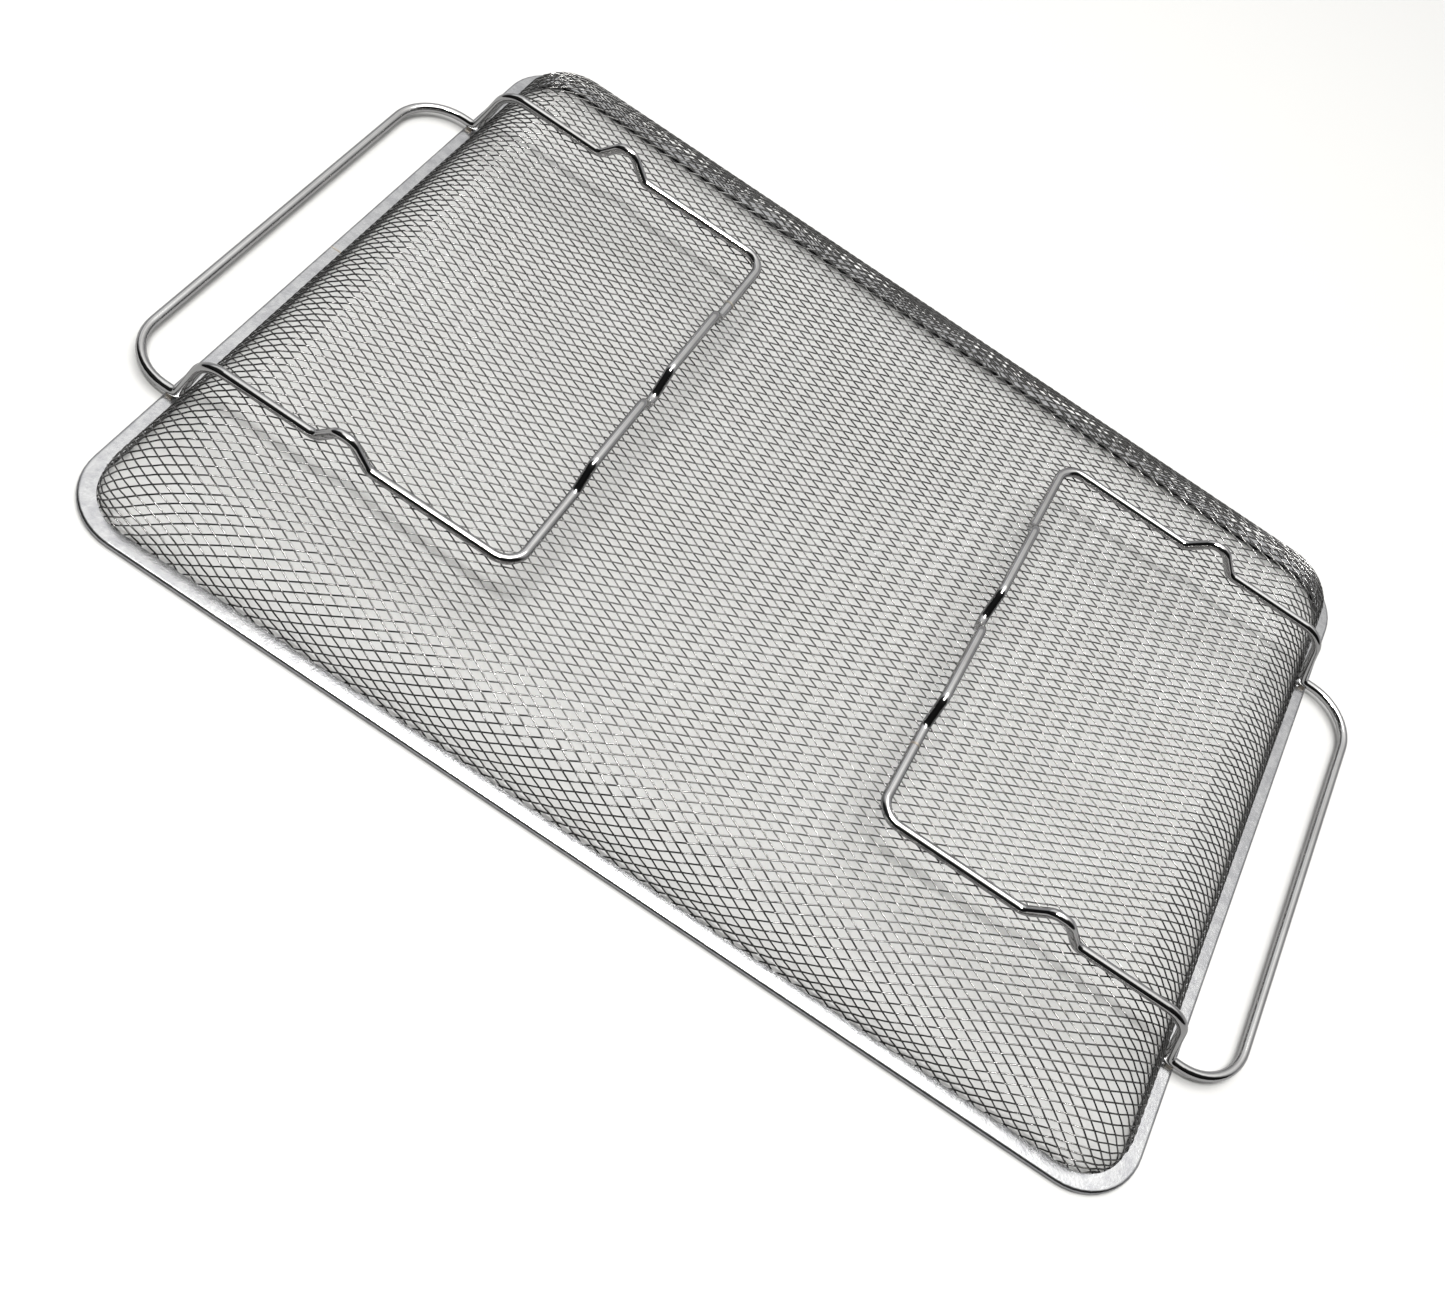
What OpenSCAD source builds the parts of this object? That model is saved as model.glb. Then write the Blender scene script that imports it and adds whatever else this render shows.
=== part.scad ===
// Mesh grill basket: a folded rim strip, a pressed pan of woven wire cloth
// and two bent wire loops that make the handles, the rails and the feet.
// It stands upside down on its rim. +X runs along the long sides, +Y along
// the short sides, and the underside of the basket faces up, along +Z.

/* [Rim] */
// Length over the rim
rim_len = 400; // [300:5:520]
// Width over the rim
rim_wid = 300; // [240:5:400]
// Outer corner radius of the rim
rim_corner_r = 24; // [14:1:34]
// Width of the folded strip's flat face
rim_face = 6; // [5:0.25:8]
// Height of the folded strip
rim_th = 2.4; // [2.2:0.1:3.4]
// Thickness of the sheet that the strip is folded from
sheet_th = 0.5; // [0.4:0.05:0.6]
// Gap between the strip's ends, filled by a weld
seam_gap = 0.6; // [0.3:0.1:1.2]

/* [Pan] */
// Height of the pan's flat underside above the rim's resting face
pan_h = 27; // [22:0.5:36]
// Plan width of the pan's curved wall
wall_w = 29.5; // [18:0.5:36]
// Plan radius at the corners of the flat underside
flat_corner_r = 12; // [6:1:16]
// Diameter of the woven wires
cloth_wire_d = 0.6; // [0.35:0.05:0.6]
// Gap between the pan's wall and the rim's inner edge
wall_gap = 0.5; // [0.3:0.1:1.5]
// Gap between the layers of warp and weft
weave_gap = 0.15; // [0.05:0.01:0.2]

/* [Wire loops] */
// Diameter of the loop wire
loop_d = 3.6; // [3:0.1:4.4]
// Distance between the two side rails of a loop
rail_gap = 182; // [150:2:200]
// Distance from the centre of the basket to each cross rail
cross_x = 69.5; // [50:0.5:90]
// How far each handle's centre line stands out from the rim
handle_reach = 20; // [16:1:40]
// Bend radius of the handle's two corners
handle_bend_r = 19; // [12:0.5:19]
// Bend radius where a side rail turns into the cross rail
inner_bend_r = 8; // [5:0.5:12]
// Distance from the rim's edge to the point where a rail meets the rim
foot_in = 4.2; // [3.8:0.1:5]
// Distance from the rim's edge to the corner where a rail turns down
shoulder_in = 13; // [12:0.5:18]
// Bend radius at the shoulder
shoulder_bend_r = 11; // [7:0.5:12]
// Bend radius where the rail meets the rim
foot_bend_r = 3.2; // [2.8:0.1:3.4]
// Clearance between the loops' butt welds and what they lie on
lay_gap = 0.05; // [0.05:0.01:0.2]

/* [Feet] */
// Height of the raised feet above the rails
foot_h = 8.4; // [5:0.2:11]
// Slope of the feet's flanks in degrees
foot_slope = 49; // [40:1:56]
// Length of the flat top of each foot on a side rail
side_foot_top = 5.4; // [5:0.2:10]
// Distance from the rim's edge to the middle of each side foot
side_foot_in = 65.3; // [50:0.5:80]
// Length of the flat top of each foot on a cross rail
cross_foot_top = 34.5; // [20:0.5:36]
// Length of the low stretch between the two feet on a cross rail
cross_dip = 5.4; // [5:0.2:12]
// Bend radius of the feet
foot_top_r = 4.5; // [4:0.1:5.2]

/* [Welds] */
// Distance from the loop's joint to the middle of the cross rail
butt_y = 61; // [60:1:66]
// Width of the gap between the loop's ends, filled by a weld
butt_gap = 0.8; // [0.5:0.1:1.5]
// How far a weld stands proud of the metal it joins
weld_proud = 0.1; // [0.05:0.05:0.3]
// Radius of the spot weld's bead under each rail where it meets the rim
spot_r = 2; // [1.6:0.1:2.6]
// Length of each spot weld along the rail
spot_len = 2.2; // [1.5:0.1:3]

/* [Hidden] */
$fn = 48;

steel = "silver";
bright_steel = "gainsboro";
cloth_steel = "slategray";
tinted_weld = "darkkhaki";

half_x = rim_len / 2;
half_y = rim_wid / 2;
straight_x = rim_len - 2 * rim_corner_r;
straight_y = rim_wid - 2 * rim_corner_r;

// Wire loop levels and stations
loop_lift = lay_gap + weld_proud;
rail_z = pan_h + loop_lift + loop_d / 2;
grip_z = rim_th + loop_lift + loop_d / 2;
crest_z = rail_z + foot_h;
rail_y = rail_gap / 2;
flank = foot_h / tan(foot_slope);
side_foot_x = half_x - side_foot_in;

// Lip of the pan, where its wall enters the rim
lip_x = half_x - rim_face - wall_gap;
lip_y = half_y - rim_face - wall_gap;
lip_corner_r = rim_corner_r - rim_face - wall_gap;
lip_z = rim_th / 2 + cloth_wire_d;
flange = rim_face + wall_gap - rim_th / 2 - sheet_th;

// Fineness of the curved pan and of the bent wire
corner_steps = 8;
wall_steps = 10;
wire_sides = 12;
bend_step = 12;

function unit(v) = v / norm(v);

// ---- Rim strip -------------------------------------------------------

// Folded section, outer edge on x = 0, open towards -x
module strip_section() {
    flat = rim_face - rim_th / 2;
    slot_h = rim_th - 2 * sheet_th;
    difference() {
        union() {
            translate([-rim_face, 0]) square([flat, rim_th]);
            translate([-rim_th / 2, rim_th / 2]) circle(d = rim_th);
        }
        translate([-rim_face - 1, sheet_th]) square([flat + 1, slot_h]);
        translate([-rim_th / 2, rim_th / 2]) circle(d = slot_h);
    }
}

// One straight side of the strip, centred on the +x side at distance `out`
module strip_side(out, length) {
    translate([out, length / 2, 0]) rotate([90, 0, 0])
        linear_extrude(length) strip_section();
}

module strip_corner() {
    rotate_extrude(angle = 90) translate([rim_corner_r, 0]) strip_section();
}

module rim_strip() {
    color(steel) difference() {
        union() {
            for (turn = [0, 180]) rotate([0, 0, turn]) {
                strip_side(half_x, straight_y);
                rotate([0, 0, 90]) strip_side(half_y, straight_x);
                translate([straight_x / 2, straight_y / 2, 0]) strip_corner();
                translate([-straight_x / 2, straight_y / 2, 0])
                    rotate([0, 0, 90]) strip_corner();
            }
        }
        translate([-half_x - 1, -seam_gap / 2, -1])
            cube([rim_face + 2, seam_gap, rim_th + 2]);
    }
}

// Weld that fills the seam and stands a little proud of the strip's face
module rim_seam_weld() {
    color(tinted_weld) translate([-half_x, -seam_gap / 2, 0]) rotate([90, 0, 180])
        linear_extrude(seam_gap) {
            strip_section();
            translate([-rim_face, rim_th]) square([rim_face - rim_th / 2, weld_proud]);
        }
}

// ---- Pan of woven cloth ------------------------------------------------

// Profile of the cloth at a depth below its face, as [inset from the lip, height],
// from the edge inside the folded rim, over the elliptical wall, to the flat
wall_h = pan_h - lip_z;
function wall_point(deep, a) =
    let (n = unit([sin(a) / wall_w, cos(a) / wall_h]))
    [wall_w * (1 - sin(a)) + deep * n[0], lip_z + wall_h * cos(a) - deep * n[1]];
function layer_profile(deep) = concat(
    [[-flange, lip_z - deep], [-wall_gap, lip_z - deep]],
    [for (i = [1:wall_steps]) wall_point(deep, 90 - 90 * i / wall_steps)]);

// Rounded rectangle at an inset from the lip
function ring_r(inset) = inset < 0 ? lip_corner_r - inset
    : lip_corner_r + (flat_corner_r - lip_corner_r) * min(inset / wall_w, 1);
function ring(p) =
    let (r = ring_r(p[0]))
    [for (q = [0:3], i = [0:corner_steps])
        let (a = 90 * q + 90 * i / corner_steps,
             sx = (q == 0 || q == 3) ? 1 : -1,
             sy = q < 2 ? 1 : -1)
        [sx * (lip_x - p[0] - r) + r * cos(a), sy * (lip_y - p[0] - r) + r * sin(a), p[1]]];

// Closed shell between two depths of the cloth
module cloth_layer(deep_out, deep_in) {
    outer = layer_profile(deep_out);
    inner = layer_profile(deep_in);
    loop = 4 * (corner_steps + 1);
    rings = len(outer);
    profile = concat(outer, [for (i = [rings - 1:-1:0]) inner[i]]);
    points = [for (p = profile) each ring(p)];
    last = len(profile) - 1;
    sides = [for (k = [0:last], i = [0:loop - 1]) if (k != rings - 1)
        let (n = (k + 1) % (last + 1), j = (i + 1) % loop)
        each [[k * loop + i, n * loop + j, k * loop + j],
              [k * loop + i, n * loop + i, n * loop + j]]];
    top = [for (i = [0:loop - 1]) (rings - 1) * loop + loop - 1 - i];
    under = [for (i = [0:loop - 1]) rings * loop + i];
    polyhedron(points = points, faces = concat(sides, [top, under]));
}

module mesh_warp_wires() color(cloth_steel) cloth_layer(0, cloth_wire_d);

module mesh_weft_wires() color(cloth_steel) cloth_layer(cloth_wire_d + weave_gap, 2 * cloth_wire_d);

// ---- Wire loops -----------------------------------------------------------

// Corners of the right-hand loop with their bend radii, from joint to joint
side_foot_half = side_foot_top / 2;
function side_rail(s) = [
    [[cross_x, s * rail_y, rail_z], inner_bend_r],
    [[side_foot_x - side_foot_half - flank, s * rail_y, rail_z], foot_top_r],
    [[side_foot_x - side_foot_half, s * rail_y, crest_z], foot_top_r],
    [[side_foot_x + side_foot_half, s * rail_y, crest_z], foot_top_r],
    [[side_foot_x + side_foot_half + flank, s * rail_y, rail_z], foot_top_r],
    [[half_x - shoulder_in, s * rail_y, rail_z], shoulder_bend_r],
    [[half_x - foot_in, s * rail_y, grip_z], foot_bend_r],
    [[half_x + handle_reach, s * rail_y, grip_z], handle_bend_r]];
function cross_foot(s) =
    let (near = cross_dip / 2, far = near + 2 * flank + cross_foot_top)
    [[[cross_x, s * far, rail_z], foot_top_r],
     [[cross_x, s * (far - flank), crest_z], foot_top_r],
     [[cross_x, s * (near + flank), crest_z], foot_top_r],
     [[cross_x, s * near, rail_z], foot_top_r]];
function reversed(list) = [for (i = [len(list) - 1:-1:0]) list[i]];
loop_corners = concat(
    [[[cross_x, -butt_y - butt_gap / 2, rail_z], 0]],
    side_rail(-1), reversed(side_rail(1)),
    cross_foot(1), reversed(cross_foot(-1)),
    [[[cross_x, -butt_y + butt_gap / 2, rail_z], 0]]);

function turned(v, axis, a) =
    v * cos(a) + cross(axis, v) * sin(a) + axis * (axis * v) * (1 - cos(a));

// Ring of points across the wire, from its centre and two cross directions
function wire_ring(c, e) =
    [for (k = [0:wire_sides - 1])
        let (a = 360 * k / wire_sides)
        c + (e[0] * cos(a) + e[1] * sin(a)) * loop_d / 2];

// Rings round one bend at corner p, from direction u to v, with the cross
// directions e that the wire has where it arrives
function bend_rings(p, u, v, r, e) =
    let (turn = acos(u * v),
         axis = unit(cross(u, v)),
         centre = p + unit(v - u) * r / cos(turn / 2),
         spoke = p - u * r * tan(turn / 2) - centre,
         steps = ceil(turn / bend_step))
    [for (k = [0:steps])
        let (a = turn * k / steps)
        wire_ring(centre + turned(spoke, axis, a), [turned(e[0], axis, a), turned(e[1], axis, a)])];

// Wire along rounded corners, where every entry is [corner, bend radius]
module bent_wire(c) {
    last = len(c) - 1;
    u = [for (i = [0:last - 1]) unit(c[i + 1][0] - c[i][0])];
    side = unit(cross(u[0], [0, 0, 1]));
    first = [side, cross(u[0], side)];
    function carried(e, i) =
        let (axis = unit(cross(u[i - 1], u[i])), a = acos(u[i - 1] * u[i]))
        [turned(e[0], axis, a), turned(e[1], axis, a)];
    arriving = [for (i = 1, e = first; i <= last; e = i < last ? carried(e, i) : e, i = i + 1) e];
    rings = concat(
        [wire_ring(c[0][0], first)],
        [for (i = [1:last - 1]) each bend_rings(c[i][0], u[i - 1], u[i], c[i][1], arriving[i - 1])],
        [wire_ring(c[last][0], arriving[last - 1])]);
    n = wire_sides;
    ends = len(rings) - 1;
    walls = [for (k = [0:ends - 1], i = [0:n - 1])
        let (j = (i + 1) % n)
        each [[k * n + i, k * n + j, (k + 1) * n + j], [k * n + i, (k + 1) * n + j, (k + 1) * n + i]]];
    polyhedron(
        points = [for (r = rings) each r],
        faces = concat(walls, [[for (i = [n - 1:-1:0]) i]], [[for (i = [0:n - 1]) ends * n + i]]));
}

module handle_wire_right() color(bright_steel) bent_wire(loop_corners);

module handle_wire_left() rotate([0, 0, 180]) handle_wire_right();

// ---- Welds ---------------------------------------------------------------------

// Bead between the two ends of each loop
module wire_butt_welds() {
    color(tinted_weld) for (turn = [0, 180]) rotate([0, 0, turn])
        translate([cross_x, -butt_y + butt_gap / 2, rail_z]) rotate([90, 0, 0])
            cylinder(d = loop_d + 2 * weld_proud, h = butt_gap);
}

// Fused metal in the corners between the rim's face and each rail
module rim_spot_welds() {
    color(tinted_weld) for (turn = [0, 180], s = [-1, 1]) rotate([0, 0, turn])
        translate([half_x - rim_th / 2, s * rail_y, rim_th]) rotate([90, 0, -90])
            linear_extrude(spot_len) difference() {
                intersection() {
                    circle(r = spot_r);
                    translate([-spot_r, 0]) square([2 * spot_r, loop_d / 2]);
                }
                translate([0, loop_lift + loop_d / 2]) circle(d = loop_d);
            }
}

rim_strip();
rim_seam_weld();
mesh_warp_wires();
mesh_weft_wires();
handle_wire_left();
handle_wire_right();
wire_butt_welds();
rim_spot_welds();
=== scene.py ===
"""Grill basket: a pressed pan of woven steel cloth in a folded rim, with two bent wire loops."""

import logging
from dataclasses import dataclass
from enum import Enum
from math import ceil, cos, pi, radians, sin, tan
from typing import Any, Iterable, Optional, Union

import bpy
import numpy as np
from mathutils import Matrix, Vector


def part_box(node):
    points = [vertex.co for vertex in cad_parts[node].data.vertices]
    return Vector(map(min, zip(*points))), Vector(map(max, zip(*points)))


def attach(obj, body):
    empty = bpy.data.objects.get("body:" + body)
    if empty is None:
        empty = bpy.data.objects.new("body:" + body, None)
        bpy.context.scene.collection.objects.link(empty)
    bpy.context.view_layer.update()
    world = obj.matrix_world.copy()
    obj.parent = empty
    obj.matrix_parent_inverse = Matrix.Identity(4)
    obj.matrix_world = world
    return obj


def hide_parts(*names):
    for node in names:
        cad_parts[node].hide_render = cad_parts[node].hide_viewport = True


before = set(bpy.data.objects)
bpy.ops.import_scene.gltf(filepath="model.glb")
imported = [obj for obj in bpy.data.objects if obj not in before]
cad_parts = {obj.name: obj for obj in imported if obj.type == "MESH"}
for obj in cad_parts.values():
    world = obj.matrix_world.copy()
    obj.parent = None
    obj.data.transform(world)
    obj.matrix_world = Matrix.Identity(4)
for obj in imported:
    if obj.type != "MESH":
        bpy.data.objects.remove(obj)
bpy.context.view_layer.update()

log = logging.getLogger("grill_basket")

MM = 0.001
WELD_DISTANCE = 1e-6
TINY = 1e-9
SHORTEST_LEG = 0.001
Colour = tuple[float, float, float]


class Axis(Enum):
    """Direction in which a family of cloth wires was woven."""

    WARP = "warp"
    WEFT = "weft"


# ---- Shader graphs ------------------------------------------------------------


class Signal:
    """Output socket of a shader node that takes part in plain expressions."""

    def __init__(self, graph: "Graph", socket: bpy.types.NodeSocket) -> None:
        """Wrap a socket.

        Args:
            graph: Graph that the socket belongs to.
            socket: Output socket to wrap.
        """
        self.graph = graph
        self.socket = socket

    def _math(self, operation: str, first: Any, second: Any) -> "Signal":
        """Return a Math node of two operands.

        Args:
            operation: Name of the operation.
            first: First operand.
            second: Second operand.

        Returns:
            The result as a signal.
        """
        return self.graph.node("ShaderNodeMath", {"operation": operation}, {0: first, 1: second})

    def __add__(self, other: Any) -> "Signal":
        """Return self + other."""
        return self._math("ADD", self, other)

    __radd__ = __add__

    def __mul__(self, other: Any) -> "Signal":
        """Return self * other."""
        return self._math("MULTIPLY", self, other)

    __rmul__ = __mul__

    def __sub__(self, other: Any) -> "Signal":
        """Return self - other."""
        return self._math("SUBTRACT", self, other)

    def __rsub__(self, other: Any) -> "Signal":
        """Return other - self."""
        return self._math("SUBTRACT", other, self)


class Graph:
    """Node tree that is written as Python expressions."""

    def __init__(self, tree: bpy.types.NodeTree) -> None:
        """Start with an empty tree.

        Args:
            tree: Node tree to fill.
        """
        self.tree = tree
        tree.nodes.clear()

    def raw(self, kind: str, settings: dict[str, Any], inputs: dict[Any, Any]) -> bpy.types.Node:
        """Add a node, with its settings first and then its sockets.

        Args:
            kind: Type of the node.
            settings: Properties to set; "stops" fills a colour ramp.
            inputs: Values or signals for the sockets, by name or index.

        Returns:
            The new node.
        """
        made = self.tree.nodes.new(kind)
        for name, value in settings.items():
            if name == "stops":
                ramp = made.color_ramp.elements
                ramp.remove(ramp[1])
                ramp[0].position = value[0][0]
                ramp[0].color = (*value[0][1], 1.0)
                for place, colour in value[1:]:
                    ramp.new(place).color = (*colour, 1.0)
            else:
                setattr(made, name, value)
        for name, value in inputs.items():
            if isinstance(value, Signal):
                self.tree.links.new(value.socket, made.inputs[name])
            else:
                made.inputs[name].default_value = value
        return made

    def node(self, kind: str, settings: Optional[dict[str, Any]] = None,
             inputs: Optional[dict[Any, Any]] = None, out: Union[int, str] = 0) -> Signal:
        """Add a node and return one of its outputs.

        Args:
            kind: Type of the node.
            settings: Properties to set before the sockets.
            inputs: Values or signals for the sockets.
            out: Output to return.

        Returns:
            The chosen output.
        """
        return Signal(self, self.raw(kind, settings or {}, inputs or {}).outputs[out])

    def place(self) -> Signal:
        """Return the object coordinates in metres."""
        return self.node("ShaderNodeTexCoord", out="Object")

    def noise(self, where: Signal, scale: float, detail: float = 3.0, roughness: float = 0.55) -> Signal:
        """Return fractal noise between 0 and 1.

        Args:
            where: Coordinates to read.
            scale: Grains per metre.
            detail: Octaves.
            roughness: Weight of the finer octaves.

        Returns:
            The noise value.
        """
        return self.node("ShaderNodeTexNoise", {},
                         {"Vector": where, "Scale": scale, "Detail": detail, "Roughness": roughness}, "Fac")

    def ramp(self, value: Signal, stops: list[tuple[float, Colour]]) -> Signal:
        """Return a colour ramp.

        Args:
            value: Value that moves along the ramp.
            stops: Places and colours of the ramp.

        Returns:
            The colour.
        """
        return self.node("ShaderNodeValToRGB", {"stops": stops}, {"Fac": value})

    def step(self, value: Signal, low: float, high: float) -> Signal:
        """Return a smooth step from 0 at low to 1 at high.

        Args:
            value: Value to compare.
            low: Value that gives 0.
            high: Value that gives 1.

        Returns:
            The step.
        """
        return self.node("ShaderNodeMapRange", {"interpolation_type": "SMOOTHSTEP"},
                         {"Value": value, "From Min": low, "From Max": high})

    def blend(self, factor: Any, first: Any, second: Any) -> Signal:
        """Return a mix of two colours.

        Args:
            factor: Share of the second colour.
            first: First colour.
            second: Second colour.

        Returns:
            The mixed colour.
        """
        return self.node("ShaderNodeMix", {"data_type": "RGBA"}, {0: factor, 6: first, 7: second}, 2)


@dataclass(frozen=True)
class Steel:
    """Finish of bright steel with fine grain, uneven roughness and dull patches."""

    name: str
    colour: Colour
    patch_colour: Colour
    roughness: float
    roughness_spread: float
    grain: float
    grain_scale: float
    patch_scale: float
    bump_depth: float = 0.0001
    patch_low: float = 0.35
    patch_high: float = 0.7
    roughness_scale: float = 0.4

    def base(self, graph: Graph) -> Signal:
        """Return the colour, with soft patches a little darker.

        Args:
            graph: Graph to add to.

        Returns:
            The colour.
        """
        noise = graph.noise(graph.place(), self.patch_scale, 4.0)
        patches = graph.step(noise, self.patch_low, self.patch_high)
        return graph.blend(patches, (*self.colour, 1.0), (*self.patch_colour, 1.0))

    def height(self, graph: Graph) -> Signal:
        """Return the height of the surface's fine grain."""
        return graph.noise(graph.place(), self.grain_scale, 4.0, 0.65)

    def material(self) -> bpy.types.Material:
        """Build the material.

        Returns:
            The new material.
        """
        made = bpy.data.materials.new(self.name)
        made.use_nodes = True
        graph = Graph(made.node_tree)
        grain = self.height(graph)
        uneven = graph.noise(graph.place(), self.grain_scale * self.roughness_scale) - 0.5
        rough = self.roughness + uneven * self.roughness_spread
        bump = graph.node("ShaderNodeBump", {}, {
            "Strength": self.grain, "Distance": self.bump_depth, "Height": grain})
        shader = graph.node("ShaderNodeBsdfPrincipled", {}, {
            "Base Color": self.base(graph), "Metallic": 1.0, "Roughness": rough, "Normal": bump})
        graph.raw("ShaderNodeOutputMaterial", {}, {"Surface": shader})
        return made


# ---- Modelling helpers ----------------------------------------------------------


def deselect() -> None:
    """Leave edit mode and select nothing."""
    if bpy.context.object and bpy.context.object.mode != "OBJECT":
        bpy.ops.object.mode_set(mode="OBJECT")
    bpy.ops.object.select_all(action="DESELECT")


def choose(piece: bpy.types.Object) -> None:
    """Select one object alone and make it active.

    Args:
        piece: Object to select.
    """
    deselect()
    piece.select_set(True)
    bpy.context.view_layer.objects.active = piece


def apply_array(piece: bpy.types.Object, count: int, offset: tuple[float, float, float], merge: bool) -> None:
    """Repeat a mesh in a row and apply it.

    Args:
        piece: Object to repeat.
        count: Number of copies, with the first.
        offset: Step from copy to copy in metres.
        merge: Whether copies that touch are joined.
    """
    choose(piece)
    row = piece.modifiers.new("row", "ARRAY")
    row.use_relative_offset = False
    row.use_constant_offset = True
    row.constant_offset_displace = offset
    row.count = count
    row.use_merge_vertices = merge
    row.merge_threshold = WELD_DISTANCE
    bpy.ops.object.modifier_apply(modifier=row.name)


def dress(piece: bpy.types.Object, material: bpy.types.Material) -> None:
    """Give every material slot of an object one finish.

    Args:
        piece: Object to dress.
        material: Finish to use.
    """
    if not piece.material_slots:
        piece.data.materials.append(material)
    for slot in piece.material_slots:
        slot.material = material


def settle(piece: bpy.types.Object, material: bpy.types.Material, nodes: Iterable[str]) -> None:
    """Register a finished piece with the frame.

    Args:
        piece: Finished object.
        material: Finish of the piece.
        nodes: CAD nodes that it stands for.
    """
    dress(piece, material)
    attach(piece, "root")
    for node in nodes:
        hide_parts(node)
    log.info("%s: %d faces", piece.name, len(piece.data.polygons))


# ---- Pan of woven cloth ---------------------------------------------------------


@dataclass
class Pan:
    """Middle surface of the pressed cloth, in millimetres."""

    lip_x: float
    lip_y: float
    lip_r: float = 17.5
    flat_r: float = 12.0
    wall_w: float = 29.5
    top: float = 26.4
    lip_z: float = 1.2
    fillet: float = 1.6
    flat_run: float = 400.0
    flange_run: float = 90.0
    samples: int = 240
    fillet_samples: int = 12
    drop_rounds: int = 2

    def __post_init__(self) -> None:
        """Tabulate the wall's profile by arc length, from the flat to the flange."""
        a = np.linspace(0.0, pi / 2, self.samples)
        inset = self.wall_w * (1 - np.sin(a))
        z = self.lip_z + (self.top - self.lip_z) * np.cos(a)
        keep = z > self.lip_z + self.fillet
        inset, z = inset[keep], z[keep]
        turn = np.linspace(0.0, pi / 2, self.fillet_samples)[1:]
        start_inset = inset[-1]
        inset = np.concatenate([[self.wall_w + self.flat_run], inset,
                                start_inset - self.fillet * (1 - np.cos(turn)),
                                [start_inset - self.flange_run]])
        z = np.concatenate([[self.top], z, self.lip_z + self.fillet * (1 - np.sin(turn)), [self.lip_z]])
        step = np.hypot(np.diff(inset), np.diff(z))
        self.arc = np.concatenate([[0.0], np.cumsum(step)]) - self.flat_run
        self.arc_inset = inset
        self.arc_z = z
        self.mid_arc = (self.arc[1:] + self.arc[:-1]) / 2
        self.run_inset = np.diff(inset) / step
        self.run_z = np.diff(z) / step
        self.reach = float(np.interp(0.0, -inset, self.arc))

    def at(self, s: np.ndarray) -> tuple[np.ndarray, np.ndarray]:
        """Return the inset from the lip and the height at an arc length.

        Args:
            s: Arc length from the edge of the flat, positive down the wall.

        Returns:
            Inset and height.
        """
        return np.interp(s, self.arc, self.arc_inset), np.interp(s, self.arc, self.arc_z)

    def heading(self, s: np.ndarray) -> tuple[np.ndarray, np.ndarray]:
        """Return the unit direction of the profile at an arc length.

        Args:
            s: Arc length from the edge of the flat.

        Returns:
            Change of inset and of height per millimetre.
        """
        di, dz = np.interp(s, self.mid_arc, self.run_inset), np.interp(s, self.mid_arc, self.run_z)
        size = np.hypot(di, dz)
        return di / size, dz / size

    def inset_of(self, x: np.ndarray, y: np.ndarray) -> tuple[np.ndarray, np.ndarray, np.ndarray]:
        """Return the inset of plan points from the lip, and the outward direction there.

        Args:
            x: Plan position along the basket.
            y: Plan position across the basket.

        Returns:
            Inset, and the two parts of the outward unit direction.
        """
        ax, ay = np.abs(x), np.abs(y)
        k = (self.flat_r - self.lip_r) / self.wall_w
        m = 1 + k
        a, b = ax - (self.lip_x - self.lip_r), ay - (self.lip_y - self.lip_r)
        half = m * (a + b) - k * self.lip_r
        square = 2 * m * m - k * k
        inner = (-half + np.sqrt(np.maximum(half ** 2 - square * (a * a + b * b - self.lip_r ** 2), 0))) / square
        outer = self.lip_r - np.hypot(a, b)
        bend = np.where(inner > 0, inner, outer)
        shift = np.where(bend > 0, m * bend, 0.0)
        ca, cb = a + shift, b + shift
        corner = (ca > 0) & (cb > 0)
        along_x = (self.lip_x - ax) < (self.lip_y - ay)
        side = np.where(along_x, self.lip_x - ax, self.lip_y - ay)
        size = np.maximum(np.hypot(ca, cb), TINY)
        nx = np.where(corner, ca / size, np.where(along_x, 1.0, 0.0))
        ny = np.where(corner, cb / size, np.where(along_x, 0.0, 1.0))
        return np.where(corner, bend, side), nx * np.sign(x), ny * np.sign(y)

    def drop(self, points: np.ndarray) -> tuple[np.ndarray, np.ndarray]:
        """Bring points that are near the surface onto it.

        Args:
            points: Positions, an array of rows of three.

        Returns:
            The positions on the surface and the surface's outward normals.
        """
        x, y, z = points[..., 0], points[..., 1], points[..., 2]
        inset, nx, ny = self.inset_of(x, y)
        s = self.arc_of(inset, z)
        for _ in range(self.drop_rounds):
            at_inset, at_z = self.at(s)
            di, dz = self.heading(s)
            s = s + (inset - at_inset) * di + (z - at_z) * dz
        at_inset, at_z = self.at(s)
        di, dz = self.heading(s)
        move = inset - at_inset
        placed = np.stack([x + nx * move, y + ny * move, at_z], -1)
        normal = np.stack([-dz * nx, -dz * ny, -di], -1)
        return placed, normal

    def arc_of(self, inset: np.ndarray, z: np.ndarray) -> np.ndarray:
        """Estimate the arc length of a point near the profile.

        Args:
            inset: Inset from the lip.
            z: Height.

        Returns:
            Arc length from the edge of the flat.
        """
        high = self.top - self.lip_z
        a = np.arctan2(np.maximum((self.wall_w - inset) / self.wall_w, 0.0),
                       np.maximum((z - self.lip_z) / high, 0.0))
        on_wall = np.interp(self.wall_w * (1 - np.sin(a)), self.arc_inset[::-1], self.arc[::-1])
        s = np.where(inset > self.wall_w, self.wall_w - inset, on_wall)
        return np.where(inset < 0, self.reach - inset, s)


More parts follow.
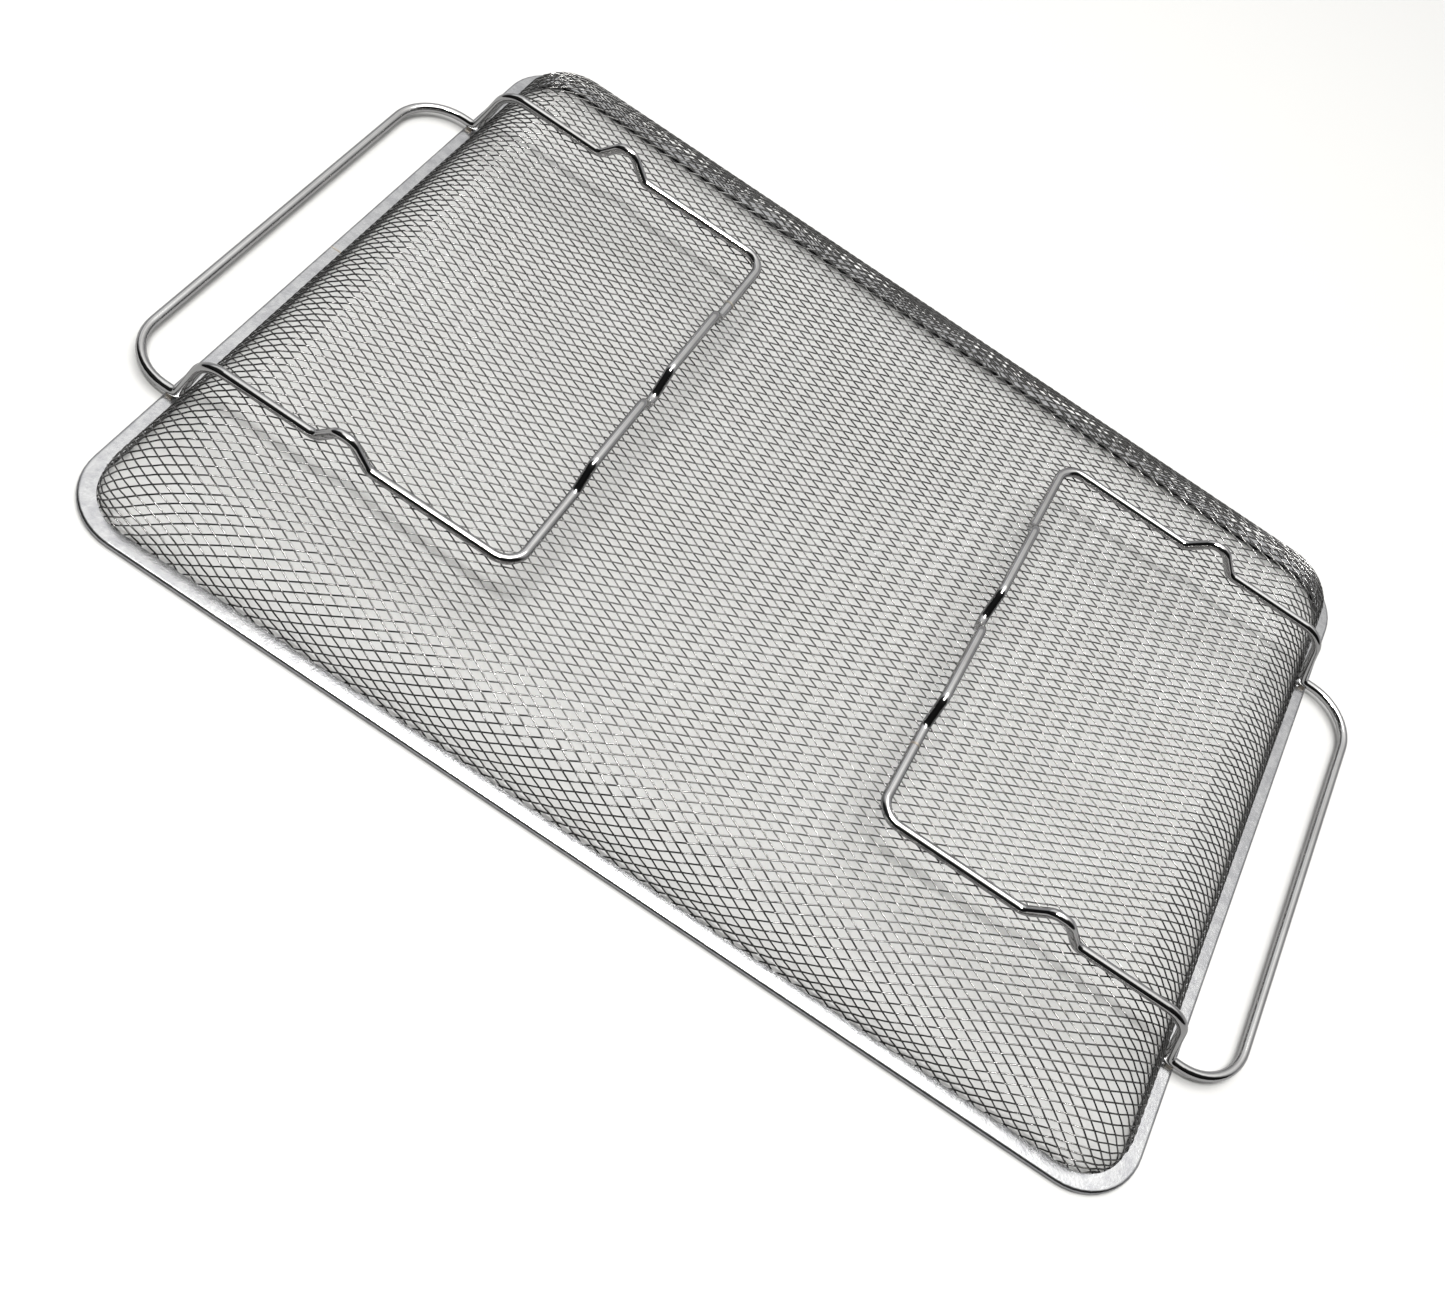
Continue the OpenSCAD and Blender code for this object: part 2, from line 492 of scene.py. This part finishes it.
@dataclass
class Weave:
    """Plain weave of two wire families, pressed over the pan without stretching the wires."""

    pan: Pan
    pitch: float = 3.16
    warp_turn: float = 29.1
    weft_turn: float = -26.1
    reach: int = 84
    blank_x: float = 226.0
    blank_y: float = 176.0
    rounds: int = 260
    smoothing: float = 0.12
    held_margin: float = 4.0

    def __post_init__(self) -> None:
        """Lay the crossings out flat, then press them onto the pan."""
        n = 2 * self.reach + 1
        i, j = np.meshgrid(np.arange(n) - self.reach, np.arange(n) - self.reach, indexing="ij")
        wa, we = radians(self.warp_turn), radians(self.weft_turn)
        normals = np.array([[-sin(wa), cos(wa)], [-sin(we), cos(we)]])
        flat = np.einsum("ab,bij->ija", np.linalg.inv(normals), self.pitch * np.stack([i, j]).astype(float))
        self.side = self.pitch / sin(wa - we)
        self.inside = (np.abs(flat[..., 0]) < self.blank_x) & (np.abs(flat[..., 1]) < self.blank_y)
        self.nodes = self.press(flat)

    def start(self, flat: np.ndarray) -> np.ndarray:
        """Fold each axis of the flat cloth down the walls on its own.

        Args:
            flat: Crossings of the flat cloth.

        Returns:
            First guess of their places on the pan.
        """
        def folded(values: np.ndarray, half: float) -> np.ndarray:
            """Return plan positions for flat ones."""
            inset, _ = self.pan.at(np.abs(values) - (half - self.pan.wall_w))
            return np.sign(values) * (half - inset)

        x, y = folded(flat[..., 0], self.pan.lip_x), folded(flat[..., 1], self.pan.lip_y)
        inset, _, _ = self.pan.inset_of(x, y)
        s = np.interp(-inset, -self.pan.arc_inset, self.pan.arc)
        return np.stack([x, y, self.pan.at(s)[1]], -1)

    def press(self, flat: np.ndarray) -> np.ndarray:
        """Slide the crossings on the pan until every wire keeps its length.

        Args:
            flat: Crossings of the flat cloth.

        Returns:
            Places of the crossings on the pan.
        """
        p = self.start(flat)
        rest = self.pan.wall_w + self.held_margin
        held = (np.abs(flat[..., 0]) < self.pan.lip_x - rest) & (np.abs(flat[..., 1]) < self.pan.lip_y - rest)
        free = (~held & self.inside).astype(float)
        for _ in range(self.rounds):
            for axis in (0, 1):
                for parity in (0, 1):
                    self.relax(p, free, axis, parity)
            smooth = np.zeros_like(p)
            for axis in (0, 1):
                q = np.moveaxis(p, axis, 0)
                f = np.moveaxis(smooth, axis, 0)
                ok = np.moveaxis(self.inside, axis, 0)
                both = (ok[2:] & ok[:-2])[..., None]
                f[1:-1] += np.where(both, (q[2:] + q[:-2]) / 2 - q[1:-1], 0)
            p = p + self.smoothing * smooth * free[..., None]
            p = np.where(free[..., None] > 0, self.pan.drop(p)[0], p)
        return p

    def relax(self, p: np.ndarray, free: np.ndarray, axis: int, parity: int) -> None:
        """Bring every second wire segment of one family to its length.

        Args:
            p: Places of the crossings, changed in place.
            free: 1 for a crossing that may move, 0 for one that is held.
            axis: Index direction of the segments.
            parity: Which half of the segments to treat.
        """
        q = np.moveaxis(p, axis, 0)
        w = np.moveaxis(free, axis, 0)
        ok = np.moveaxis(self.inside, axis, 0)
        last = (len(q) - parity) // 2 * 2 + parity
        a, b = q[parity:last:2], q[parity + 1:last:2]
        wa, wb = w[parity:last:2], w[parity + 1:last:2]
        both = ok[parity:last:2] & ok[parity + 1:last:2]
        gap = b - a
        size = np.maximum(np.linalg.norm(gap, axis=-1), TINY)
        share = np.where(both, (size - self.side) / size / np.maximum(wa + wb, 1.0), 0.0)[..., None] * gap
        a += share * wa[..., None]
        b -= share * wb[..., None]


@dataclass
class ClothWires:
    """All the wires of one direction of the cloth, made as a few pieces."""

    weave: Weave
    axis: Axis
    wire_d: float = 0.56
    crimp: float = 0.13
    sides: int = 6
    rings: int = 4
    bands: int = 4
    edge_inset: float = -4.4
    array_step: float = 0.001
    array_gap: float = 0.004

    def family(self) -> np.ndarray:
        """Return the crossings with wires along the rows."""
        nodes = self.weave.nodes
        return nodes if self.axis is Axis.WARP else nodes.transpose(1, 0, 2)

    def paths(self) -> tuple[np.ndarray, np.ndarray, np.ndarray]:
        """Return points along every wire's middle, the surface normals and which points are used.

        Returns:
            Points, normals and the mask, each with one row per wire.
        """
        rows = self.family()
        inside = self.weave.inside if self.axis is Axis.WARP else self.weave.inside.T
        t = np.arange(self.rings) / self.rings
        p0, p1, p2, p3 = rows[:, :-3], rows[:, 1:-2], rows[:, 2:-1], rows[:, 3:]
        pieces = []
        for f in t:
            pieces.append(0.5 * (2 * p1 + (p2 - p0) * f + (2 * p0 - 5 * p1 + 4 * p2 - p3) * f ** 2
                                 + (3 * p1 - p0 - 3 * p2 + p3) * f ** 3))
        points = np.stack(pieces, 2).reshape(len(rows), -1, 3)
        used = np.repeat(inside[:, :-3] & inside[:, 1:-2] & inside[:, 2:-1] & inside[:, 3:], self.rings, 1)
        points = np.where(used[..., None], points, 0.0)
        placed, normal = self.weave.pan.drop(points)
        inset, _, _ = self.weave.pan.inset_of(placed[..., 0], placed[..., 1])
        return placed, normal, used & (inset >= self.edge_inset)

    def crowns(self, wires: int, count: int) -> np.ndarray:
        """Return each point's height over the middle surface as the wire passes over and under.

        Args:
            wires: Number of wires.
            count: Number of points on each.

        Returns:
            Heights in millimetres.
        """
        i = np.arange(wires)[:, None]
        j = np.arange(count)[None, :] / self.rings + 1
        sign = 1.0 if self.axis is Axis.WARP else -1.0
        return sign * self.crimp * np.cos(pi * (i + j))

    def build(self, material: bpy.types.Material) -> None:
        """Make the pieces of this direction.

        Args:
            material: Finish of the cloth.
        """
        placed, normal, used = self.paths()
        centre = placed + normal * self.crowns(*placed.shape[:2])[..., None]
        run = np.gradient(centre, axis=1)
        run /= np.maximum(np.linalg.norm(run, axis=-1, keepdims=True), TINY)
        side = np.cross(normal, run)
        side /= np.maximum(np.linalg.norm(side, axis=-1, keepdims=True), TINY)
        up = np.cross(run, side)
        present = np.flatnonzero(used.sum(1) > 2 * self.rings)
        weight = np.cumsum(used[present].sum(1))
        shares = weight[-1] * np.arange(1, self.bands) / self.bands
        cuts = [0, *(int(cut) + 1 for cut in np.searchsorted(weight, shares)), len(present)]
        for number in range(self.bands):
            rows = present[cuts[number]:cuts[number + 1]]
            self.band(number, rows, centre[rows], side[rows], up[rows], used[rows], material)

    def band(self, number: int, rows: np.ndarray, centre: np.ndarray, side: np.ndarray, up: np.ndarray,
             used: np.ndarray, material: bpy.types.Material) -> None:
        """Make one piece of neighbouring wires.

        Args:
            number: Number of the piece.
            rows: Wires in the piece.
            centre: Points along their middles.
            side: Directions across them in the cloth.
            up: Directions across them out of the cloth.
            used: Mask of the points that lie inside the rim.
            material: Finish of the cloth.
        """
        first, last = np.flatnonzero(used.any(0))[[0, -1]]
        count = last - first
        step, gap = self.array_step, self.array_gap
        deselect()
        bpy.ops.mesh.primitive_circle_add(vertices=self.sides, radius=self.wire_d / 2 * MM,
                                          fill_type="NOTHING", rotation=(0, pi / 2, 0))
        piece = bpy.context.object
        bpy.ops.object.transform_apply(location=True, rotation=True, scale=True)
        bpy.ops.object.mode_set(mode="EDIT")
        bpy.ops.mesh.select_all(action="SELECT")
        bpy.ops.mesh.extrude_region_move(TRANSFORM_OT_translate={"value": (step, 0, 0)})
        bpy.ops.object.mode_set(mode="OBJECT")
        apply_array(piece, int(count), (step, 0, 0), True)
        apply_array(piece, len(rows), (0, gap, 0), False)
        mesh = piece.data
        flat = np.empty(len(mesh.vertices) * 3)
        mesh.vertices.foreach_get("co", flat)
        flat = flat.reshape(-1, 3)
        k = np.rint(flat[:, 0] / step).astype(int) + first
        m = np.rint(flat[:, 1] / gap).astype(int)
        across = (flat[:, 1] - m * gap)[:, None] / MM
        above = flat[:, 2][:, None] / MM
        bent = centre[m, k] + side[m, k] * across + up[m, k] * above
        mesh.vertices.foreach_set("co", (bent * MM).ravel())
        surplus = ~used[m, k]
        mesh.update()
        choose(piece)
        bpy.ops.object.mode_set(mode="EDIT")
        bpy.ops.mesh.select_all(action="DESELECT")
        bpy.ops.object.mode_set(mode="OBJECT")
        mesh.vertices.foreach_set("select", surplus)
        bpy.ops.object.mode_set(mode="EDIT")
        bpy.ops.mesh.select_mode(type="VERT")
        bpy.ops.mesh.delete(type="VERT")
        bpy.ops.mesh.select_all(action="SELECT")
        bpy.ops.mesh.fill_holes(sides=self.sides)
        bpy.ops.mesh.select_all(action="SELECT")
        bpy.ops.mesh.normals_make_consistent(inside=False)
        bpy.ops.object.mode_set(mode="OBJECT")
        bpy.ops.object.shade_smooth()
        piece.name = f"{self.axis.value}_wires_{number + 1}"
        mesh.name = piece.name
        settle(piece, material, [f"mesh_{self.axis.value}_wires"])


# ---- Wire loops --------------------------------------------------------------------


@dataclass
class WireLoop:
    """One bent wire that makes a handle, two rails and the feet."""

    half_x: float
    rim_th: float
    pan_h: float = 27.0
    wire_d: float = 3.6
    loop_lift: float = 0.15
    rail_y: float = 91.0
    cross_x: float = 69.5
    handle_reach: float = 20.0
    handle_r: float = 19.0
    inner_r: float = 8.0
    foot_in: float = 4.2
    shoulder_in: float = 13.0
    shoulder_r: float = 11.0
    foot_r: float = 3.2
    foot_h: float = 8.4
    foot_slope: float = 49.0
    side_foot_top: float = 5.4
    side_foot_in: float = 65.3
    cross_foot_top: float = 34.5
    cross_dip: float = 5.4
    foot_top_r: float = 4.5
    butt_y: float = 61.0
    butt_gap: float = 0.8
    sides: int = 24
    bend_step: float = 7.5
    smooth_angle: float = 50.0

    def corners(self) -> list[tuple[Vector, float]]:
        """Return the corners of the right-hand loop with their bend radii.

        Returns:
            Corner and radius pairs, from one end of the wire to the other.
        """
        rail_z = self.pan_h + self.loop_lift + self.wire_d / 2
        grip_z = self.rim_th + self.loop_lift + self.wire_d / 2
        crest = rail_z + self.foot_h
        flank = self.foot_h / tan(radians(self.foot_slope))
        foot_x = self.half_x - self.side_foot_in
        half = self.side_foot_top / 2

        def rail(s: int) -> list[tuple[Vector, float]]:
            """Return the corners of one side rail, from the cross rail out."""
            y = s * self.rail_y
            stops = [(self.cross_x, rail_z, self.inner_r), (foot_x - half - flank, rail_z, self.foot_top_r),
                     (foot_x - half, crest, self.foot_top_r), (foot_x + half, crest, self.foot_top_r),
                     (foot_x + half + flank, rail_z, self.foot_top_r),
                     (self.half_x - self.shoulder_in, rail_z, self.shoulder_r),
                     (self.half_x - self.foot_in, grip_z, self.foot_r),
                     (self.half_x + self.handle_reach, grip_z, self.handle_r)]
            return [(Vector((x, y, z)), r) for x, z, r in stops]

        def foot(s: int) -> list[tuple[Vector, float]]:
            """Return the corners of one foot on the cross rail, from the outside in."""
            near = self.cross_dip / 2
            far = near + 2 * flank + self.cross_foot_top
            stops = [(far, rail_z), (far - flank, crest), (near + flank, crest), (near, rail_z)]
            return [(Vector((self.cross_x, s * y, z)), self.foot_top_r) for y, z in stops]

        ends = [(Vector((self.cross_x, -self.butt_y + g * self.butt_gap / 2, rail_z)), 0.0) for g in (-1, 1)]
        return [ends[0], *rail(-1), *reversed(rail(1)), *foot(1), *reversed(foot(-1)), ends[1]]

    def build(self, name: str, turn: float, node: str, material: bpy.types.Material) -> None:
        """Bend the wire from a round profile, leg by leg and bend by bend.

        Args:
            name: Name of the piece.
            turn: Rotation about the vertical axis in radians.
            node: CAD node that it stands for.
            material: Finish of the wire.
        """
        spin = Matrix.Rotation(turn, 3, "Z")
        stops = [(spin @ p, r) for p, r in self.corners()]
        runs = [(b[0] - a[0]).normalized() for a, b in zip(stops, stops[1:])]
        deselect()
        bpy.ops.mesh.primitive_circle_add(vertices=self.sides, radius=self.wire_d / 2 * MM,
                                          fill_type="NGON", location=stops[0][0] * MM,
                                          rotation=runs[0].to_track_quat("Z", "X").to_euler())
        piece = bpy.context.object
        bpy.ops.object.transform_apply(location=True, rotation=True, scale=True)
        bpy.ops.object.mode_set(mode="EDIT")
        bpy.ops.mesh.select_mode(type="FACE")
        bpy.ops.mesh.select_all(action="SELECT")
        here = stops[0][0]
        for (corner, radius), u, v in zip(stops[1:-1], runs, runs[1:]):
            angle = u.angle(v)
            cut = radius * tan(angle / 2)
            self.leg(corner - u * cut - here)
            centre = corner + (v - u).normalized() * (radius / cos(angle / 2))
            bpy.ops.mesh.spin(steps=max(3, ceil(angle / radians(self.bend_step))), angle=-angle, dupli=False,
                              center=centre * MM, axis=u.cross(v).normalized())
            here = corner + v * cut
        self.leg(stops[-1][0] - here)
        bpy.ops.mesh.select_all(action="SELECT")
        bpy.ops.mesh.remove_doubles(threshold=WELD_DISTANCE)
        bpy.ops.mesh.normals_make_consistent(inside=False)
        bpy.ops.object.mode_set(mode="OBJECT")
        bpy.ops.object.shade_smooth_by_angle(angle=radians(self.smooth_angle))
        piece.name = name
        piece.data.name = name
        settle(piece, material, [node])

    @staticmethod
    def leg(move: Vector) -> None:
        """Extrude the wire's end straight on.

        Args:
            move: Step in millimetres.
        """
        if move.length > SHORTEST_LEG:
            bpy.ops.mesh.extrude_region_move(TRANSFORM_OT_translate={"value": move * MM})


# ---- Rim and welds -------------------------------------------------------------------


@dataclass
class RimAndWelds:
    """Folded rim strip and the welds, which keep their CAD shapes."""

    rim_node: str = "rim_strip"
    weld_nodes: tuple[str, ...] = ("rim_seam_weld", "wire_butt_welds", "rim_spot_welds")

    def build(self, rim: bpy.types.Material, weld: bpy.types.Material) -> None:
        """Dress the CAD nodes.

        Args:
            rim: Finish of the strip.
            weld: Finish of the welds.
        """
        dress(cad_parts[self.rim_node], rim)
        for name in self.weld_nodes:
            dress(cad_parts[name], weld)
        log.info("rim and welds dressed")


# ---- Studio ---------------------------------------------------------------------------


@dataclass(frozen=True)
class Lamp:
    """One rectangular soft light."""

    name: str
    size: tuple[float, float]
    spot: tuple[float, float, float]
    tilt: float
    power: float
    mirrored: bool

    def build(self) -> None:
        """Hang the light."""
        data = bpy.data.lights.new(self.name, "AREA")
        data.shape = "RECTANGLE"
        data.size, data.size_y = self.size
        data.energy = self.power
        lamp = bpy.data.objects.new(self.name, data)
        lamp.location = self.spot
        lamp.rotation_euler = (radians(self.tilt), 0, 0)
        lamp.visible_glossy = self.mirrored
        bpy.context.scene.collection.objects.link(lamp)


LAMPS = (
    Lamp("top_light", size=(0.9, 1.1), spot=(0.1, 0.3, 1.6), tilt=-10.0, power=13.0, mirrored=True),
    Lamp("streak_light", size=(0.6, 0.10), spot=(-0.15, -0.5, 1.5), tilt=18.0, power=15.0, mirrored=True),
    Lamp("fill_light", size=(2.0, 2.0), spot=(-0.2, 0.2, 1.8), tilt=-5.0, power=7.0, mirrored=False),
)
SKY = [(0.0, (0.26, 0.26, 0.27)), (0.45, (0.20, 0.203, 0.21)), (0.63, (0.46, 0.46, 0.46)),
       (0.73, (0.5, 0.5, 0.5)), (0.86, (0.9, 0.9, 0.9)), (1.0, (1.0, 1.0, 1.0))]


@dataclass
class Studio:
    """Pale floor, soft light from above and the camera."""

    azimuth: float = 0.170
    elevation: float = 53.752
    roll: float = 33.714
    distance: float = 563.28
    target: tuple[float, float, float] = (-0.968, -49.288, 0.0)
    lens: float = 40.61
    sensor: float = 36.0
    near: float = 0.01
    floor_size: float = 6.0
    floor_colour: Colour = (0.66, 0.655, 0.637)
    # Darker floor colour that only reflections see: painted shade on the wires and rim.
    reflection_shade_colour: Colour = (0.30, 0.30, 0.30)
    floor_roughness: float = 0.8
    floor_shine: float = 0.2
    side_colour: Colour = (0.7, 0.71, 0.73)
    side_share: float = 0.6
    side_edge: tuple[float, float] = (0.3, 0.4)
    side_top: tuple[float, float] = (0.62, 0.72)
    side_bottom: tuple[float, float] = (0.4, 0.5)
    dark_edge: tuple[float, float] = (-0.32, 0.05)
    dark_top: tuple[float, float] = (0.88, 0.95)
    dark_share: float = 0.98
    backdrop: Colour = (0.56, 0.56, 0.555)
    sky_strength: float = 1.6

    def camera(self) -> None:
        """Place the camera."""
        az, el, roll = radians(self.azimuth), radians(self.elevation), radians(self.roll)
        back = Vector((sin(az) * cos(el), -cos(az) * cos(el), sin(el)))
        right = (-back).cross(Vector((0, 0, 1))).normalized()
        up = right.cross(-back)
        x = right * cos(roll) + up * sin(roll)
        y = up * cos(roll) - right * sin(roll)
        spot = (Vector(self.target) + back * self.distance) * MM
        data = bpy.data.cameras.new("camera")
        data.sensor_width = self.sensor
        data.sensor_fit = "HORIZONTAL"
        data.lens = self.lens
        data.clip_start = self.near
        cam = bpy.data.objects.new("camera", data)
        cam.matrix_world = Matrix.Translation(spot) @ Matrix((x, y, back)).transposed().to_4x4()
        bpy.context.scene.collection.objects.link(cam)
        bpy.context.scene.camera = cam

    def floor(self) -> None:
        """Lay the floor; glossy rays see a darker colour, which is painted shade in the floor's reflections on
        the metal.
        """
        deselect()
        bpy.ops.mesh.primitive_plane_add(size=self.floor_size)
        floor = bpy.context.object
        floor.name = "floor"
        made = bpy.data.materials.new("paper")
        made.use_nodes = True
        graph = Graph(made.node_tree)
        seen, mirrored = (graph.node("ShaderNodeBsdfPrincipled", {}, {
            "Base Color": (*shade, 1.0), "Roughness": self.floor_roughness,
            "Specular IOR Level": self.floor_shine})
            for shade in (self.floor_colour, self.reflection_shade_colour))
        # Glossy rays get the darker colour: painted shade in every reflection of the floor.
        glossy = graph.node("ShaderNodeLightPath", out="Is Glossy Ray")
        shader = graph.node("ShaderNodeMixShader", {}, {0: glossy, 1: seen, 2: mirrored})
        graph.raw("ShaderNodeOutputMaterial", {}, {"Surface": shader})
        dress(floor, made)

    def world(self) -> None:
        """Surround the scene with a pale tent that is dark toward the basket's front side."""
        world = bpy.data.worlds.new("tent")
        bpy.context.scene.world = world
        world.use_nodes = True
        graph = Graph(world.node_tree)
        where = graph.node("ShaderNodeTexCoord", out="Generated")
        parts = graph.raw("ShaderNodeSeparateXYZ", {}, {0: where})
        x, y, z = (Signal(graph, parts.outputs[name]) for name in "XYZ")
        sky = graph.ramp(z, SKY)
        band = (1.0 - graph.step(z, *self.side_top)) * graph.step(z, *self.side_bottom)
        left = graph.step(0.0 - x, *self.side_edge) * band
        sky = graph.blend(left * self.side_share, sky, (*self.side_colour, 1.0))
        front = graph.step(0.0 - y, *self.dark_edge) * (1.0 - graph.step(z, *self.dark_top))
        colour = graph.blend(front * self.dark_share, sky, (0.0, 0.0, 0.0, 1.0))
        seen = graph.node("ShaderNodeLightPath", out="Is Camera Ray")
        colour = graph.blend(seen, colour, (*self.backdrop, 1.0))
        shader = graph.node("ShaderNodeBackground", {}, {"Color": colour, "Strength": self.sky_strength})
        graph.raw("ShaderNodeOutputWorld", {}, {"Surface": shader})

    def build(self) -> None:
        """Set up the whole studio."""
        self.camera()
        self.floor()
        self.world()
        for lamp in LAMPS:
            lamp.build()
        view = bpy.context.scene.view_settings
        view.view_transform = "Standard"
        view.look = "None"


# ---- Finishes and the whole --------------------------------------------------------------

RIM_STEEL = Steel("rim_steel", colour=(0.60, 0.60, 0.60), patch_colour=(0.49, 0.49, 0.50), roughness=0.24,
                  roughness_spread=0.14, grain=0.5, grain_scale=1100.0, patch_scale=240.0)
CLOTH_STEEL = Steel("cloth_steel", colour=(0.25, 0.247, 0.24), patch_colour=(0.19, 0.186, 0.178),
                    roughness=0.10, roughness_spread=0.05, grain=0.1, grain_scale=1500.0, patch_scale=30.0)
LOOP_STEEL = Steel("loop_steel", colour=(0.62, 0.615, 0.605), patch_colour=(0.55, 0.54, 0.53),
                   roughness=0.07, roughness_spread=0.05, grain=0.10, grain_scale=1400.0, patch_scale=50.0)
WELD_STEEL = Steel("weld_steel", colour=(0.62, 0.57, 0.48), patch_colour=(0.40, 0.35, 0.30),
                   roughness=0.35, roughness_spread=0.2, grain=0.6, grain_scale=1800.0, patch_scale=400.0)
LIP_INSET = 6.5


def main() -> None:
    """Build the basket and the studio."""
    logging.basicConfig(level=logging.INFO, format="%(message)s")
    _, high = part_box("rim_strip")
    half_x, half_y, rim_th = high[0] / MM, high[1] / MM, high[2] / MM
    Studio().build()
    pan = Pan(lip_x=half_x - LIP_INSET, lip_y=half_y - LIP_INSET)
    weave = Weave(pan)
    cloth = CLOTH_STEEL.material()
    for axis in Axis:
        ClothWires(weave, axis).build(cloth)
    loop = WireLoop(half_x=half_x, rim_th=rim_th)
    wire = LOOP_STEEL.material()
    loop.build("loop_right", 0.0, "handle_wire_right", wire)
    loop.build("loop_left", pi, "handle_wire_left", wire)
    RimAndWelds().build(RIM_STEEL.material(), WELD_STEEL.material())


if __name__ == "__main__":
    main()
